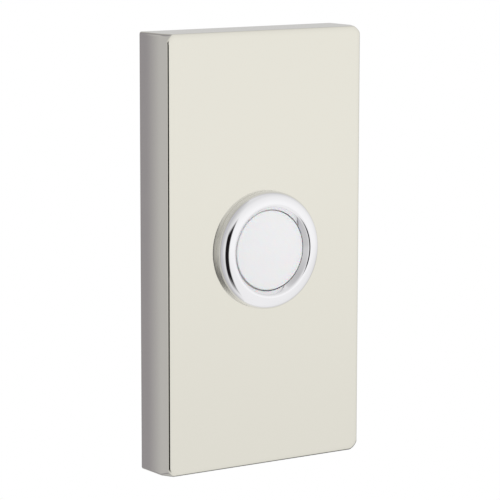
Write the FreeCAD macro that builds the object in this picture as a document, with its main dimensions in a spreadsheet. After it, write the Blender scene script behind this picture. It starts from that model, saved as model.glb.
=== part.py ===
import FreeCAD, Part
import math
import os
import Sketcher

# Doorbell push button with a rectangular cover plate.
# Millimetres. +Z is up and +Y points into the wall, so the front faces -Y. The origin is on the wall
# plane, half way between the two wall screws, on the axis of the push button.

doc = FreeCAD.newDocument("DoorbellButton")

# Dimensions: alias, value or the formula that gives it, and what it is.
SIZES = (
    ("plate_width", 47.0, "cover plate, side to side"),
    ("plate_height", 88.9, "cover plate, top to bottom, 3 1/2 inches"),
    ("plate_depth", 10.2, "cover plate, wall to front face"),
    ("plate_side_wall", 2.6, "thickness of the plate's four sides at the rim"),
    ("plate_front_wall", 2.6, "thickness of the plate's front"),
    ("plate_front_corner", 2.2, "corner radius at the polished front"),
    ("plate_back_corner", 0.9, "corner radius of the sides"),
    ("plate_corner_depth", 3.0, "depth over which the corners grow rounder towards the front"),
    ("plate_edge_round", 0.8, "rounding of the front edges"),
    ("plate_draft", 1.5, "draft of the hollow, degrees"),
    ("hollow_corner", 2.0, "corner radius of the hollow"),
    ("bracket_sheet", 1.2, "sheet thickness of the bracket"),
    ("bracket_gap", 1.7, "gap between the bracket and the plate's sides"),
    ("bracket_corner", 3.0, "corner radius of the bracket"),
    ("window_play", 2.2, "barrel's thread to the edge of the bracket's window"),
    ("bracket_window", "=barrel_thread + window_play", "radius of the window for the barrel"),
    ("bend_inside", 0.6, "inside radius of the bracket's bends"),
    ("hook_width", 14.0, "width of the hook and of the bottom tab"),
    ("hook_reach", 3.8, "wall plane to the back of the hook's lip"),
    ("hook_lip", 3.2, "height of the hook's lip above its floor's underside"),
    ("tab_reach", 6.4, "wall plane to the front end of the bottom tab"),
    ("tab_gap", 4.7, "gap between the bracket's tabs and the top and bottom walls"),
    ("lug_width", 18.0, "width of the hanging lug in the plate"),
    ("lug_depth", 2.2, "thickness of the hanging lug, front to back"),
    ("seat_gap", 0.1, "play where the plate hangs on the bracket"),
    ("screw_inset", 8.575, "wall screw to the outside of the tab, for 57.15 between the screws, 2 1/4 inches"),
    ("screw_hole", 2.3, "radius of the wall screw holes"),
    ("bead_width", 3.0, "width of the bracket's stiffening beads"),
    ("bead_length", 30.0, "length of the stiffening beads"),
    ("bead_height", 0.6, "height of the stiffening beads"),
    ("bead_inset", 3.0, "bead centre line to the bracket's side edge"),
    ("set_screw", 1.5, "radius of the set screw's thread"),
    ("set_screw_length", 7.7, "set screw, end to tip"),
    ("set_screw_inset", 0.3, "set screw's end to the plate's underside"),
    ("set_screw_place", 4.3, "wall plane to the set screw's axis"),
    ("set_screw_socket", 1.5, "across flats of the hexagon socket"),
    ("set_screw_socket_depth", 1.8, "depth of the hexagon socket"),
    ("set_screw_seat", 1.2, "radius of the hole that the cone point seats in"),
    ("set_screw_point", 1.2, "length of the cone point"),
    ("boss_width", 9.0, "width of the set screw's boss"),
    ("boss_height", 2.4, "height of the boss above the bottom wall"),
    ("thread_gap", 0.04, "radial play of a screw thread"),
    ("bezel_radius", 12.05, "outer radius of the chrome ring"),
    ("bezel_side", 0.85, "height of the ring's straight side"),
    ("bezel_height", 2.6, "crest of the ring above the plate"),
    ("bezel_dome", 2.55, "outside of the ring to its crest"),
    ("bezel_crest", "=bezel_radius - bezel_dome", "radius of the ring's crest"),
    ("bezel_shoulder", 1.55, "radius of the ring's outer shoulder"),
    ("bezel_inner_round", 0.8, "radius of the crest's inner rounding"),
    ("bezel_slope", 56.0, "slope from the crest down to the cap, degrees"),
    ("bezel_width", 3.77, "outside of the ring to the bore of its lip"),
    ("lip_radius", "=bezel_radius - bezel_width", "bore of the lip around the cap"),
    ("lip_back", 0.3, "plate's front face to the back of the lip"),
    ("bezel_overhang", 1.75, "outside of the ring to the outside of the barrel's thread"),
    ("barrel_thread", "=bezel_radius - bezel_overhang", "outer radius of the barrel's thread"),
    ("thread_depth", 0.6, "thread to the plain tail of the barrel"),
    ("barrel_tail", "=barrel_thread - thread_depth", "outer radius of the plain tail of the barrel"),
    ("barrel_wall", 0.8, "wall of the barrel's tail"),
    ("barrel_bore", "=barrel_tail - barrel_wall", "bore of the barrel"),
    ("thread_end", 1.6, "wall plane to the end of the thread, towards the front"),
    ("barrel_length", 8.2, "wall plane to the back end of the barrel"),
    ("base_seat", 5.0, "wall plane to the shoulder that the base seats on"),
    ("base_shoulder", 0.3, "width of the shoulder that the base seats on"),
    ("base_pocket", "=barrel_bore + base_shoulder", "radius of the barrel's counterbore for the base"),
    ("rolled_rim", 0.5, "thickness of the rim rolled over the base"),
    ("rim_round", 0.4, "rounding of the rolled rim"),
    ("rim_overhang", 0.55, "how far the rim reaches in over the base"),
    ("rim_radius", "=base_pocket - rim_overhang", "inner radius of the rolled rim"),
    ("hole_play", 0.15, "radial play of the barrel in the plate"),
    ("washer_width", 3.1, "barrel's thread to the outside of the lock washer"),
    ("washer_radius", "=barrel_thread + washer_width", "outer radius of the lock washer"),
    ("washer_sheet", 0.6, "thickness of the lock washer"),
    ("washer_teeth", 12.0, "teeth of the lock washer"),
    ("tooth_depth", 1.3, "depth of the gaps between the teeth"),
    ("tooth_gap", 1.4, "width of the gaps between the teeth"),
    ("nut_wall", 3.2, "barrel's thread to the flats of the retaining nut"),
    ("nut_flats", "=(barrel_thread + nut_wall) * 2", "retaining nut, across flats"),
    ("nut_thickness", 2.6, "retaining nut, thickness"),
    ("nut_chamfer", 0.7, "chamfer of the nut's corners and bore"),
    ("cap_side_play", 0.115, "radial play of the cap in the lip"),
    ("cap_radius", "=lip_radius - cap_side_play", "radius of the white cap"),
    ("cap_edge", 1.5, "edge of the cap above the plate"),
    ("cap_crown", 0.25, "rise of the cap's face to its middle"),
    ("cap_edge_round", 0.3, "rounding of the cap's edge"),
    ("cap_front_wall", 1.2, "thickness of the cap's face"),
    ("cap_flange_play", 0.1, "radial play of the flange in the barrel"),
    ("cap_flange", "=barrel_bore - cap_flange_play", "radius of the flange that keeps the cap in"),
    ("cap_flange_depth", 1.0, "thickness of that flange"),
    ("cap_play", 0.05, "gap between the flange and the lip"),
    ("cap_skirt_play", 0.9, "skirt to the barrel's bore"),
    ("cap_skirt", "=barrel_bore - cap_skirt_play", "outer radius of the cap's skirt"),
    ("cap_skirt_wall", 1.1, "wall of the cap's skirt"),
    ("cap_bore", "=cap_skirt - cap_skirt_wall", "inner radius of the cap's skirt"),
    ("cap_length", 1.0, "wall plane to the back end of the skirt, towards the front"),
    ("spring_seat_play", 0.3, "spring's coils to the ring that centres them in the cap"),
    ("spring_seat", "=spring_radius - spring_wire / 2 - spring_seat_play", "outer radius of that ring"),
    ("spring_seat_wall", 0.7, "wall of that ring"),
    ("spring_seat_height", 0.9, "height of that ring"),
    ("press_travel", 1.4, "travel of the cap"),
    ("press_margin", 0.05, "gap left at the end of the travel"),
    ("bridge_sheet", 0.4, "thickness of the contact ring"),
    ("bridge_inset", 0.2, "outside of the skirt to the outside of the contact ring"),
    ("bridge_radius", "=cap_skirt - bridge_inset", "outer radius of the contact ring"),
    ("bridge_collar", 1.4, "height of the contact ring's collar"),
    ("spring_gap", 0.2, "spring's coils to the contact strips"),
    ("spring_radius", "=contact_offset - contact_width / 2 - spring_wire / 2 - spring_gap",
     "mean radius of the return spring"),
    ("spring_wire", 0.6, "wire of the return spring"),
    ("spring_turns", 6.0, "turns of the return spring"),
    ("base_front", 2.0, "wall plane to the front of the base"),
    ("base_play", 0.05, "radial play of the base in the barrel"),
    ("post_play", 0.4, "spring's coils to the lamp's post"),
    ("post_radius", "=spring_radius - spring_wire / 2 - post_play", "radius of the lamp's post"),
    ("post_height", 1.4, "height of the lamp's post"),
    ("rib_sheet", 1.2, "thickness of the rib between the terminals"),
    ("rib_height", 2.6, "height of that rib"),
    ("rib_start", 2.4, "lower end of the rib above the axis"),
    ("rib_play", 0.45, "upper end of the rib to the rolled rim"),
    ("contact_sheet", 0.4, "thickness of the contact strips"),
    ("contact_width", "=contact_offset * 15 / 31", "width of the contact strips"),
    ("contact_end_flat", 0.03, "half the flat between the rounded corners of a strip's end"),
    ("contact_offset", "=rim_radius * 124 / 173", "contact strip to the middle"),
    ("contact_reach", "=contact_offset * 16 / 31", "axis to the centre of the rounding of a strip's ends"),
    ("rivet_bore", "=contact_width / 5", "bore of the hollow rivets"),
    ("rivet_radius", "=contact_width / 3", "shank radius of the hollow rivets"),
    ("rivet_head", "=contact_width * 7 / 15", "head radius of the hollow rivets"),
    ("rivet_head_height", 0.35, "head height of the hollow rivets"),
    ("rivet_play", 0.05, "radial play of the rivets in their holes"),
    ("terminal_sheet", 0.8, "thickness of the terminal plates"),
    ("terminal_offset", "=contact_offset * 25 / 31", "terminal screw to the middle"),
    ("terminal_rise", "=contact_offset * 11 / 31", "terminal screw above the axis"),
    ("terminal_round", "=terminal_offset * 29 / 50", "radius of the terminal plate at its screw"),
    ("terminal_small_round", "=contact_width * 8 / 15", "radius of the terminal plate at its rivet"),
    ("terminal_thread", "=terminal_round * 15 / 29", "radius of the terminal screw's thread"),
    ("terminal_head", "=terminal_round - head_inset", "radius of the terminal screw's head"),
    ("head_inset", 0.3, "edge of the terminal plate to the screw's head"),
    ("terminal_head_height", 1.5, "height of the terminal screw's head"),
    ("terminal_screw_length", 4.8, "shank of the terminal screw"),
    ("slot_width", 0.7, "screwdriver slot, width"),
    ("slot_depth", 0.8, "screwdriver slot, depth"),
    ("cup_inset", 0.15, "edge of the terminal plate to the cup washer"),
    ("cup_radius", "=terminal_round - cup_inset", "radius of the cup washers"),
    ("cup_sheet", 0.4, "thickness of the cup washers"),
    ("cup_height", 0.9, "height of the cup washers"),
    ("lamp_radius", "=spring_radius * 25 / 42", "radius of the lamp"),
    ("lamp_flange_width", 0.4, "width of the lamp's flange"),
    ("lamp_flange", "=lamp_radius + lamp_flange_width", "radius of the lamp's flange"),
    ("lamp_flange_height", 1.0, "height of the lamp's flange"),
    ("lamp_height", 8.6, "lamp, foot to tip"),
    ("lead_radius", 0.25, "radius of the lamp's and resistor's leads"),
    ("lead_bend", 0.4, "radius of the bends in the leads"),
    ("lead_offset", "=lamp_radius * 127 / 250", "lamp's leads to the middle"),
    ("lead_play", 0.01, "gap between a lead and the terminal plate that it is soldered to"),
    ("lead_run", 1.5, "bent end of the lamp's right lead"),
    ("solder_inset", "=contact_offset * 10 / 31", "rivet to the point where a lead is soldered, inwards and upwards"),
    ("resistor_radius", 0.9, "radius of the resistor's body"),
    ("resistor_round", 0.36, "rounding of the resistor's ends"),
    ("resistor_length", 3.5, "length of the resistor's body"),
)

sheet = doc.addObject("Spreadsheet::Sheet", "Sizes")
for row, (alias, number, note) in enumerate(SIZES, start=1):
    sheet.set(f"A{row}", alias)
    sheet.set(f"C{row}", note)
    sheet.setAlias(f"B{row}", alias)
for row, (alias, number, note) in enumerate(SIZES, start=1):
    sheet.set(f"B{row}", str(number))
doc.recompute()


class Size:
    """A length that knows its value and the sheet formula that it follows."""

    def __init__(self, value, text):
        self.value = value
        self.text = text

    def join(self, other, sign, value):
        return Size(value, f"({self.text} {sign} {size(other).text})")

    def __add__(self, other):
        return self.join(other, "+", self.value + size(other).value)

    def __sub__(self, other):
        return self.join(other, "-", self.value - size(other).value)

    def __mul__(self, other):
        return self.join(other, "*", self.value * size(other).value)

    def __truediv__(self, other):
        return self.join(other, "/", self.value / size(other).value)

    def __neg__(self):
        return Size(-self.value, f"(0 - {self.text})")

    def root(self):
        return Size(math.sqrt(self.value), f"sqrt({self.text})")


def trig(name, degrees):
    """The sine or cosine of a Size in degrees."""
    return Size(getattr(math, name)(math.radians(degrees.value)), f"{name}({degrees.text} * 1 deg)")


def size(number):
    """A plain number as a Size, and a Size as it is."""
    return number if isinstance(number, Size) else Size(float(number), repr(float(number)))


s = {alias: Size(float(sheet.get(alias)), f"Sizes.{alias}") for alias, number, note in SIZES}
ZERO = size(0)
ONE = size(1)
OVERSHOOT = 1.5  # how far a cutter reaches past what it cuts


def bind(thing, path, length):
    """Set a property of an object from the sheet."""
    thing.setExpression(path, size(length).text)


def new_body(label):
    body = doc.addObject("PartDesign::Body", label)
    body.Label = label
    return body


def origin_feature(body, role):
    return next(f for f in body.Origin.OriginFeatures if f.Role == role)


def new_sketch(body, name, plane="XZ_Plane", offset=None):
    """A sketch on one of the body's origin planes, moved along the plane's normal by offset."""
    sketch = body.newObject("Sketcher::SketchObject", name)
    sketch.AttachmentSupport = (origin_feature(body, plane), [""])
    sketch.MapMode = "FlatFace"
    if offset is not None:
        bind(sketch, "AttachmentOffset.Base.z", offset)
        sketch.AttachmentOffset = FreeCAD.Placement(FreeCAD.Vector(0, 0, offset.value), FreeCAD.Rotation())
    return sketch


def bound_constraint(sketch, kind, *target, length):
    """Add a constraint whose value follows the sheet."""
    index = sketch.addConstraint(Sketcher.Constraint(kind, *target, length.value))
    sketch.setExpression(f"Constraints[{index}]", length.text)


def pin_point(sketch, geometry, end, x, y):
    """Hold one end of a line or arc at (x, y) from the sketch's origin."""
    for kind, axis, place in (("DistanceX", -2, size(x)), ("DistanceY", -1, size(y))):
        if place.value == 0:
            sketch.addConstraint(Sketcher.Constraint("PointOnObject", geometry, end, axis))
        else:
            bound_constraint(sketch, kind, -1, 1, geometry, end, length=place)


def vector(point):
    return FreeCAD.Vector(size(point[0]).value, size(point[1]).value, 0)


def outline(sketch, *steps):
    """Draw a closed outline. A step is a point (x, y), or (x, y, radius, centre) for an arc that ends there."""
    points = [step[:2] for step in steps]
    first = None
    for index, step in enumerate(steps):
        start = vector(points[index - 1])
        end = vector(step)
        if len(step) == 2:
            edge = sketch.addGeometry(Part.LineSegment(start, end))
            start_end = 1
        else:
            radius = size(step[2])
            centre = vector(step[3])
            middle = (start + end) * 0.5 - centre
            crown = centre + middle.normalize() * radius.value
            # A sketch counts the ends of an arc anticlockwise.
            anticlockwise = (start - centre).cross(end - centre).z > 0
            ends = (start, end) if anticlockwise else (end, start)
            edge = sketch.addGeometry(Part.Arc(ends[0], crown, ends[1]))
            start_end = 1 if anticlockwise else 2
            bound_constraint(sketch, "Radius", edge, length=radius)
        if first is None:
            first = (edge, start_end)
        else:
            sketch.addConstraint(Sketcher.Constraint("Coincident", last[0], last[1], edge, start_end))
        last = (edge, 3 - start_end)
        pin_point(sketch, edge, last[1], *points[index])
    sketch.addConstraint(Sketcher.Constraint("Coincident", last[0], last[1], first[0], first[1]))
    return sketch


def circle(sketch, radius, x=0, y=0):
    radius = size(radius)
    edge = sketch.addGeometry(Part.Circle(vector((x, y)), FreeCAD.Vector(0, 0, 1), radius.value))
    bound_constraint(sketch, "Radius", edge, length=radius)
    pin_point(sketch, edge, 3, x, y)
    return sketch


def rectangle(sketch, left, right, low, high):
    return outline(sketch, (left, low), (right, low), (right, high), (left, high))


def rounded_rectangle(sketch, width, height, radius):
    """A rectangle about the origin with round corners."""
    x = size(width) / 2
    y = size(height) / 2
    r = size(radius)
    return outline(
        sketch,
        (x - r, -y),
        (x, r - y, r, (x - r, r - y)),
        (x, y - r),
        (x - r, y, r, (x - r, y - r)),
        (r - x, y),
        (-x, y - r, r, (r - x, y - r)),
        (-x, r - y),
        (r - x, -y, r, (r - x, r - y)),
    )


def stadium(sketch, width, low, high, x=0):
    """A slot shape along the sketch's y, between two round ends whose centres are at low and high."""
    r = size(width) / 2
    x = size(x)
    return outline(
        sketch,
        (x + r, high),
        (x, size(high) + r, r, (x, high)),
        (x - r, high, r, (x, high)),
        (x - r, low),
        (x, size(low) - r, r, (x, low)),
        (x + r, low, r, (x, low)),
    )


def feature(body, kind, profile, length=None, both=False, back=False, taper=None):
    """A Pad or Pocket. It runs along the sketch's normal, or against it when back is true, or to both sides."""
    made = body.newObject(f"PartDesign::{kind}", f"{body.Label}_{kind}")
    made.Profile = profile
    if length is None:
        made.Type = "ThroughAll"
    else:
        bind(made, "Length", length)
    if both:
        made.SideType = "Symmetric"
    made.Reversed = back
    if taper is not None:
        bind(made, "TaperAngle", taper)
    doc.recompute()
    return made


def pad(body, profile, length, **how):
    return feature(body, "Pad", profile, length, **how)


def pocket(body, profile, length=None, **how):
    """A Pocket that has to take something away."""
    before = body.Shape.Volume
    made = feature(body, "Pocket", profile, length, **how)
    if body.Shape.Volume > before - 1e-6:
        raise RuntimeError(f"{made.Label} cuts nothing")
    return made


def turn(body, profile, kind="Revolution"):
    """Turn a profile all round the sketch's vertical axis."""
    made = body.newObject(f"PartDesign::{kind}", f"{body.Label}_{kind}")
    made.Profile = profile
    made.ReferenceAxis = (profile, ["V_Axis"])
    made.Angle = 360
    doc.recompute()
    return made


def edges_where(shape, wanted):
    """The names of the edges whose points all pass a test."""
    names = []
    for number, edge in enumerate(shape.Edges, start=1):
        start, end = edge.ParameterRange
        points = [edge.valueAt(place) for place in (start, (start + end) / 2, end)]
        if all(wanted(point) for point in points):
            names.append(f"Edge{number}")
    return names


def dress(body, kind, wanted, length):
    """Round or chamfer the edges of the body that pass a test."""
    tip = body.Tip
    made = body.newObject(f"PartDesign::{kind}", f"{body.Label}_{kind}")
    made.Base = (tip, edges_where(tip.Shape, wanted))
    bind(made, "Radius" if kind == "Fillet" else "Size", length)
    doc.recompute()
    return made


def near(a, b):
    return abs(a - size(b).value) < 1e-4


# Places that several pieces share, all measured from the wall plane, negative towards the front.
front = -s["plate_depth"]
hollow_floor = s["plate_front_wall"] - s["plate_depth"]
hollow_width = s["plate_width"] - s["plate_side_wall"] * 2
hollow_height = s["plate_height"] - s["plate_side_wall"] * 2
inner_top = hollow_height / 2
bracket_width = hollow_width - s["bracket_gap"] * 2
tab_outer = inner_top - s["tab_gap"]
tab_inner = tab_outer - s["bracket_sheet"]
lip_back = front - s["lip_back"]
washer_back = hollow_floor + s["washer_sheet"]
nut_back = washer_back + s["nut_thickness"]
cap_edge = front - s["cap_edge"]
cap_inside = cap_edge + s["cap_front_wall"]
flange_front = lip_back + s["cap_play"]
flange_back = flange_front + s["cap_flange_depth"]
skirt_end = -s["cap_length"]
bridge_back = skirt_end + s["bridge_sheet"]
contact_tip = bridge_back + s["press_travel"] + s["press_margin"]
post_front = s["base_front"] - s["post_height"]
base_back = s["barrel_length"] - s["rolled_rim"]
terminal_back = base_back + s["terminal_sheet"]
cup_back = terminal_back + s["cup_height"]
screw_z = -s["plate_height"] / 2


def make_face_plate():
    """The one-piece cover: sides that grow rounder towards the polished front, and a drafted hollow behind."""
    body = new_body("face_plate")
    sides_end = s["plate_depth"] - s["plate_corner_depth"]
    at_wall = new_sketch(body, "plate_at_wall")
    rounded_rectangle(at_wall, s["plate_width"], s["plate_height"], s["plate_back_corner"])
    pad(body, at_wall, sides_end)
    at_sides_end = new_sketch(body, "plate_at_sides_end", offset=sides_end)
    rounded_rectangle(at_sides_end, s["plate_width"], s["plate_height"], s["plate_back_corner"])
    at_front = new_sketch(body, "plate_at_front", offset=s["plate_depth"])
    rounded_rectangle(at_front, s["plate_width"], s["plate_height"], s["plate_front_corner"])
    doc.recompute()
    block = body.newObject("PartDesign::AdditiveLoft", "plate_corners")
    block.Profile = at_sides_end
    block.Sections = [at_front]
    block.Ruled = True
    doc.recompute()
    dress(body, "Fillet", lambda p: near(p.y, front), s["plate_edge_round"])
    hollow = new_sketch(body, "plate_hollow")
    rounded_rectangle(hollow, hollow_width, hollow_height, s["hollow_corner"])
    pocket(body, hollow, s["plate_depth"] - s["plate_front_wall"], back=True, taper=-s["plate_draft"])
    # The lug hangs behind the lip of the bracket's hook.
    lug = new_sketch(body, "hanging_lug", "YZ_Plane")
    lug_front = s["seat_gap"] * 2 - s["hook_reach"]
    lug_back = lug_front + s["lug_depth"]
    lug_low = tab_outer + s["seat_gap"]
    lug_root = inner_top + s["plate_side_wall"] / 2
    lead_in = s["bend_inside"]
    outline(lug, (lug_front, lug_low + lead_in), (lug_front + lead_in, lug_low), (lug_back, lug_low),
            (lug_back, lug_root), (lug_front, lug_root))
    pad(body, lug, s["lug_width"], both=True)
    # The boss gives the set screw enough thread.
    boss = new_sketch(body, "set_screw_boss", "YZ_Plane")
    rectangle(boss, hollow_floor - s["plate_front_wall"] / 2, -s["bracket_sheet"] - s["seat_gap"] * 2,
              -inner_top - s["plate_side_wall"] / 2, s["boss_height"] - inner_top)
    pad(body, boss, s["boss_width"], both=True)
    tapped = new_sketch(body, "set_screw_hole", "XY_Plane", offset=screw_z)
    circle(tapped, s["set_screw"] + s["thread_gap"], 0, -s["set_screw_place"])
    pocket(body, tapped, s["plate_side_wall"] + s["boss_height"] * OVERSHOOT, back=True)
    barrel_hole = new_sketch(body, "barrel_hole", offset=s["plate_depth"])
    circle(barrel_hole, s["barrel_thread"] + s["hole_play"])
    pocket(body, barrel_hole, s["plate_front_wall"] * OVERSHOOT)


def make_mounting_bracket():
    """Sheet steel, bent to a hook at the top and a tab at the bottom, with a window for the barrel."""
    body = new_body("mounting_bracket")
    side = new_sketch(body, "bent_sheet", "YZ_Plane")
    sheet_front = -s["bracket_sheet"]
    lip_outer = -s["hook_reach"] - s["bracket_sheet"]
    lip_top = tab_inner + s["hook_lip"]
    outline(
        side,
        (ZERO, -tab_outer),
        (ZERO, tab_outer),
        (-s["hook_reach"], tab_outer),
        (-s["hook_reach"], lip_top),
        (lip_outer, lip_top),
        (lip_outer, tab_inner),
        (sheet_front, tab_inner),
        (sheet_front, -tab_inner),
        (-s["tab_reach"], -tab_inner),
        (-s["tab_reach"], -tab_outer),
    )
    pad(body, side, bracket_width, both=True)
    bends_out = ((0.0, tab_outer.value), (0.0, -tab_outer.value), (lip_outer.value, tab_inner.value))
    bends_in = ((sheet_front.value, tab_inner.value), (sheet_front.value, -tab_inner.value),
                (-s["hook_reach"].value, tab_outer.value))
    dress(body, "Fillet", lambda p: any(near(p.y, y) and near(p.z, z) for y, z in bends_in), s["bend_inside"])
    dress(body, "Fillet", lambda p: any(near(p.y, y) and near(p.z, z) for y, z in bends_out),
          s["bend_inside"] + s["bracket_sheet"])
    # The hook and the tab are narrower than the sheet, which has a step below them.
    step = tab_inner - s["bend_inside"] * 2
    for name, sign in (("beside_hook", 1), ("beside_tab", -1)):
        for hand in (1, -1):
            beside = new_sketch(body, f"{name}_{'right' if hand > 0 else 'left'}")
            rectangle(beside, s["hook_width"] / 2 * hand, bracket_width * hand, step * sign,
                      (lip_top + s["hook_lip"]) * sign)
            pocket(body, beside, back=True)
    dress(body, "Fillet", lambda p: near(abs(p.x), bracket_width / 2) and near(abs(p.z), step),
          s["bracket_corner"])
    point = new_sketch(body, "set_screw_seat", "XY_Plane", offset=-tab_outer)
    circle(point, s["set_screw_seat"], 0, -s["set_screw_place"])
    pocket(body, point, s["bracket_sheet"] * 2, back=True)
    # Two beads pressed forward stiffen the sheet beside the window.
    for hand, name in ((1, "right"), (-1, "left")):
        ridge = new_sketch(body, f"bead_{name}", offset=s["bracket_sheet"])
        bead_x = (bracket_width / 2 - s["bead_inset"]) * hand
        stadium(ridge, s["bead_width"], -s["bead_length"] / 2, s["bead_length"] / 2, bead_x)
        pad(body, ridge, s["bead_height"])
        groove = new_sketch(body, f"bead_groove_{name}")
        stadium(groove, s["bead_width"] - s["bead_height"] * 2, -s["bead_length"] / 2, s["bead_length"] / 2,
                bead_x)
        pocket(body, groove, s["bead_height"], back=True)
    holes = new_sketch(body, "window_and_screw_holes")
    circle(holes, s["bracket_window"])
    circle(holes, s["screw_hole"], 0, tab_outer - s["screw_inset"])
    circle(holes, s["screw_hole"], 0, s["screw_inset"] - tab_outer)
    pocket(body, holes, back=True)


def make_cover_set_screw():
    """A grub screw with a hexagon socket and a cone point, upright under the plate."""
    body = new_body("cover_set_screw")
    shank = s["set_screw_length"] - s["set_screw_point"]
    tip = s["set_screw"] / 3
    profile = new_sketch(body, "grub_profile")
    outline(profile, (s["set_screw"], ZERO), (s["set_screw"], shank), (tip, s["set_screw_length"]),
            (ZERO, s["set_screw_length"]), (ZERO, ZERO))
    turn(body, profile)
    socket = new_sketch(body, "hexagon_socket", "XY_Plane")
    hexagon(socket, s["set_screw_socket"])
    pocket(body, socket, s["set_screw_socket_depth"], back=True)
    bind(body, "Placement.Base.y", -s["set_screw_place"])
    bind(body, "Placement.Base.z", screw_z + s["set_screw_inset"])


def hexagon(sketch, flats):
    """A hexagon about the origin with two flats across the sketch's x."""
    half = size(flats) / 2
    corner = half * (2 / math.sqrt(3))
    return outline(sketch, (ZERO, -corner), (half, -corner / 2), (half, corner / 2), (ZERO, corner),
                   (-half, corner / 2), (-half, -corner / 2))


def make_bezel():
    """Ring and barrel turned in one piece: domed ring, lip that keeps the cap in, thread and plain tail."""
    body = new_body("bezel")
    crest = front - s["bezel_height"]
    side_top = front - s["bezel_side"]
    # The crown is the arc that meets the shoulder smoothly and is level at the crest.
    shoulder = s["bezel_shoulder"]
    run = s["bezel_radius"] - s["bezel_crest"]
    rise = s["bezel_height"] - s["bezel_side"]
    crown = (run * run + rise * rise - run * shoulder * 2) / (rise * 2 - shoulder * 2)
    lean = (run - shoulder) / (crown - shoulder)
    drop = (crown - rise) / (crown - shoulder)
    shoulder_x = s["bezel_radius"] - shoulder
    join_x = shoulder_x + shoulder * lean
    join_y = side_top - shoulder * drop
    # The inner rounding runs into the slope down to the cap.
    sine = trig("sin", s["bezel_slope"])
    cosine = trig("cos", s["bezel_slope"])
    inner = s["bezel_inner_round"]
    slope_x = s["bezel_crest"] - inner * sine
    slope_y = crest + inner - inner * cosine
    profile = new_sketch(body, "bezel_profile", "XY_Plane")
    outline(
        profile,
        (s["barrel_thread"], front),
        (s["bezel_radius"], front),
        (s["bezel_radius"], side_top),
        (join_x, join_y, shoulder, (shoulder_x, side_top)),
        (s["bezel_crest"], crest, crown, (s["bezel_crest"], crest + crown)),
        (slope_x, slope_y, inner, (s["bezel_crest"], crest + inner)),
        (s["lip_radius"], slope_y + (slope_x - s["lip_radius"]) * sine / cosine),
        (s["lip_radius"], lip_back),
        (s["barrel_bore"], lip_back),
        (s["barrel_bore"], s["base_seat"]),
        (s["base_pocket"], s["base_seat"]),
        (s["base_pocket"], base_back),
        (s["rim_radius"], base_back),
        (s["rim_radius"], s["barrel_length"]),
        (s["barrel_tail"], s["barrel_length"]),
        (s["barrel_tail"], -s["thread_end"]),
        (s["barrel_thread"], -s["thread_end"]),
    )
    turn(body, profile)
    dress(body, "Fillet", lambda p: near(p.y, s["barrel_length"]) and p.x ** 2 + p.z ** 2
          > s["base_pocket"].value ** 2, s["rim_round"])


def make_lock_washer():
    """A toothed washer between the plate and the nut."""
    body = new_body("lock_washer")
    ring = new_sketch(body, "washer_ring", offset=-hollow_floor)
    circle(ring, s["washer_radius"])
    circle(ring, s["barrel_thread"] + s["hole_play"])
    pad(body, ring, s["washer_sheet"], back=True)
    notch = new_sketch(body, "tooth_gap", offset=-hollow_floor)
    rectangle(notch, -s["tooth_gap"] / 2, s["tooth_gap"] / 2, s["washer_radius"] - s["tooth_depth"],
              s["washer_radius"] + s["tooth_depth"])
    first = pocket(body, notch, s["washer_sheet"])
    teeth = body.newObject("PartDesign::PolarPattern", "washer_teeth")
    teeth.Originals = [first]
    teeth.Axis = (origin_feature(body, "Y_Axis"), [""])
    teeth.Angle = 360
    bind(teeth, "Occurrences", s["washer_teeth"])
    body.Tip = teeth
    doc.recompute()


def make_retaining_nut():
    """A thin hexagon nut with chamfered corners."""
    body = new_body("retaining_nut")
    flats = new_sketch(body, "nut_flats", offset=-washer_back)
    hexagon(flats, s["nut_flats"])
    pad(body, flats, s["nut_thickness"], back=True)
    bore = new_sketch(body, "nut_bore", offset=-washer_back)
    circle(bore, s["barrel_thread"] + s["thread_gap"])
    pocket(body, bore)
    corner = s["nut_flats"] / math.sqrt(3)
    inscribed = s["nut_flats"] / 2
    trim = new_sketch(body, "corner_chamfer", "XY_Plane")
    reach = (corner - inscribed) * 2
    outline(trim, (inscribed, nut_back), (inscribed + reach, nut_back),
            (inscribed + reach, nut_back - s["nut_chamfer"] * 2))
    turn(body, trim, "Groove")
    ream = new_sketch(body, "bore_chamfer", "XY_Plane")
    edge = s["barrel_thread"] + s["thread_gap"]
    outline(ream, (edge - s["nut_chamfer"], nut_back), (edge + s["nut_chamfer"], nut_back),
            (edge - s["nut_chamfer"], nut_back - s["nut_chamfer"] * 2))
    turn(body, ream, "Groove")


def make_button_cap():
    """The moulded cap: crowned face, flange behind the bezel's lip, skirt, and a ring for the spring."""
    body = new_body("button_cap")
    edge_round = s["cap_edge_round"]
    brow = s["cap_radius"] - edge_round
    crown = (brow * brow + s["cap_crown"] * s["cap_crown"]) / (s["cap_crown"] * 2)
    peak = cap_edge - s["cap_crown"]
    seat_inner = s["spring_seat"] - s["spring_seat_wall"]
    profile = new_sketch(body, "cap_profile", "XY_Plane")
    outline(
        profile,
        (ZERO, cap_inside),
        (ZERO, peak),
        (brow, cap_edge, crown, (ZERO, peak + crown)),
        (s["cap_radius"], cap_edge + edge_round, edge_round, (brow, cap_edge + edge_round)),
        (s["cap_radius"], flange_front),
        (s["cap_flange"], flange_front),
        (s["cap_flange"], flange_back),
        (s["cap_skirt"], flange_back),
        (s["cap_skirt"], skirt_end),
        (s["cap_bore"], skirt_end),
        (s["cap_bore"], cap_inside),
        (s["spring_seat"], cap_inside),
        (s["spring_seat"], cap_inside + s["spring_seat_height"]),
        (seat_inner, cap_inside + s["spring_seat_height"]),
        (seat_inner, cap_inside),
    )
    turn(body, profile)


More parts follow.
